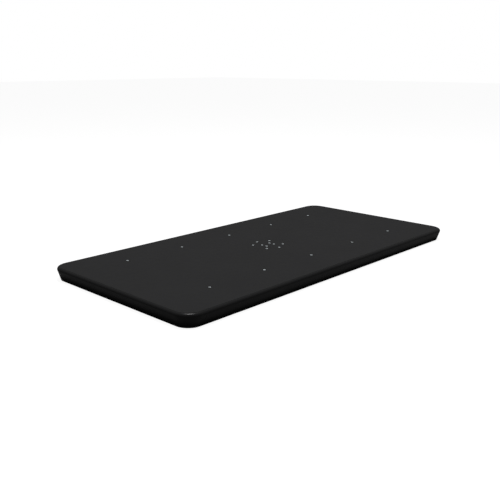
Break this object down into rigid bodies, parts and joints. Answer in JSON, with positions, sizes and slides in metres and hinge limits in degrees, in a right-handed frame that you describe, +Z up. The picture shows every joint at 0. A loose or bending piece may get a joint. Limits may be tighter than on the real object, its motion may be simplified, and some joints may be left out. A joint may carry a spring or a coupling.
{
  "type": "pool cover",
  "caption": "Fitted rectangular pool cover: flat sheet with eyeleted drain holes, rolled shoulder, inward-sloping skirt and a draw rope with a lock in the hem.",
  "frame": {"origin": "middle of the floor plane that the hem stands on", "axes": "+X along the cover, +Y to the rear side, where the rope lock is, +Z up out of the top sheet"},
  "size_m": [3.96, 1.85, 0.1265],
  "materials": {
    "top_sheet": "satin black film",
    "skirt_sheet": "satin black film",
    "weld_tape": "matt black film",
    "eyelet": "satin pale grey",
    "rope": "braided",
    "lock_body": "moulded black",
    "lock_plunger": "moulded dark grey",
    "spring_steel": "drawn wire"
  },
  "bodies": {
    "cover": {"corner_gusset_front_left": "skirt_sheet", "corner_gusset_front_right": "skirt_sheet", "corner_gusset_rear_left": "skirt_sheet", "corner_gusset_rear_right": "skirt_sheet", "corner_sleeve_front_left": "weld_tape", "corner_sleeve_front_right": "weld_tape", "corner_sleeve_rear_left": "weld_tape", "corner_sleeve_rear_right": "weld_tape", "drain_eyelets_centre": "eyelet", "drain_eyelets_front": "eyelet", "drain_eyelets_rear": "eyelet", "drain_washers_centre": "eyelet", "drain_washers_front": "eyelet", "drain_washers_rear": "eyelet", "draw_rope": "rope", "rope_end_cap": "lock_body", "rope_lock_body": "lock_body", "rope_lock_spring": "spring_steel", "rope_sleeve_front": "weld_tape", "rope_sleeve_left": "weld_tape", "rope_sleeve_rear_left": "weld_tape", "rope_sleeve_rear_right": "weld_tape", "rope_sleeve_right": "weld_tape", "seam_tapes": "weld_tape", "skirt_front": "skirt_sheet", "skirt_left": "skirt_sheet", "skirt_rear": "skirt_sheet", "skirt_right": "skirt_sheet", "top_sheet": "top_sheet"},
    "lock_plunger": {"rope_lock_plunger": "lock_plunger"}
  },
  "joints": [
    {"name": "lock_press", "type": "slide", "parent": "cover", "child": "lock_plunger", "axis": [0, 0, -1], "range_m": [0, 0.003], "stiffness_N_per_m": 360, "springref_m": -0.006, "deforming": ["rope_lock_spring"]}
  ]
}
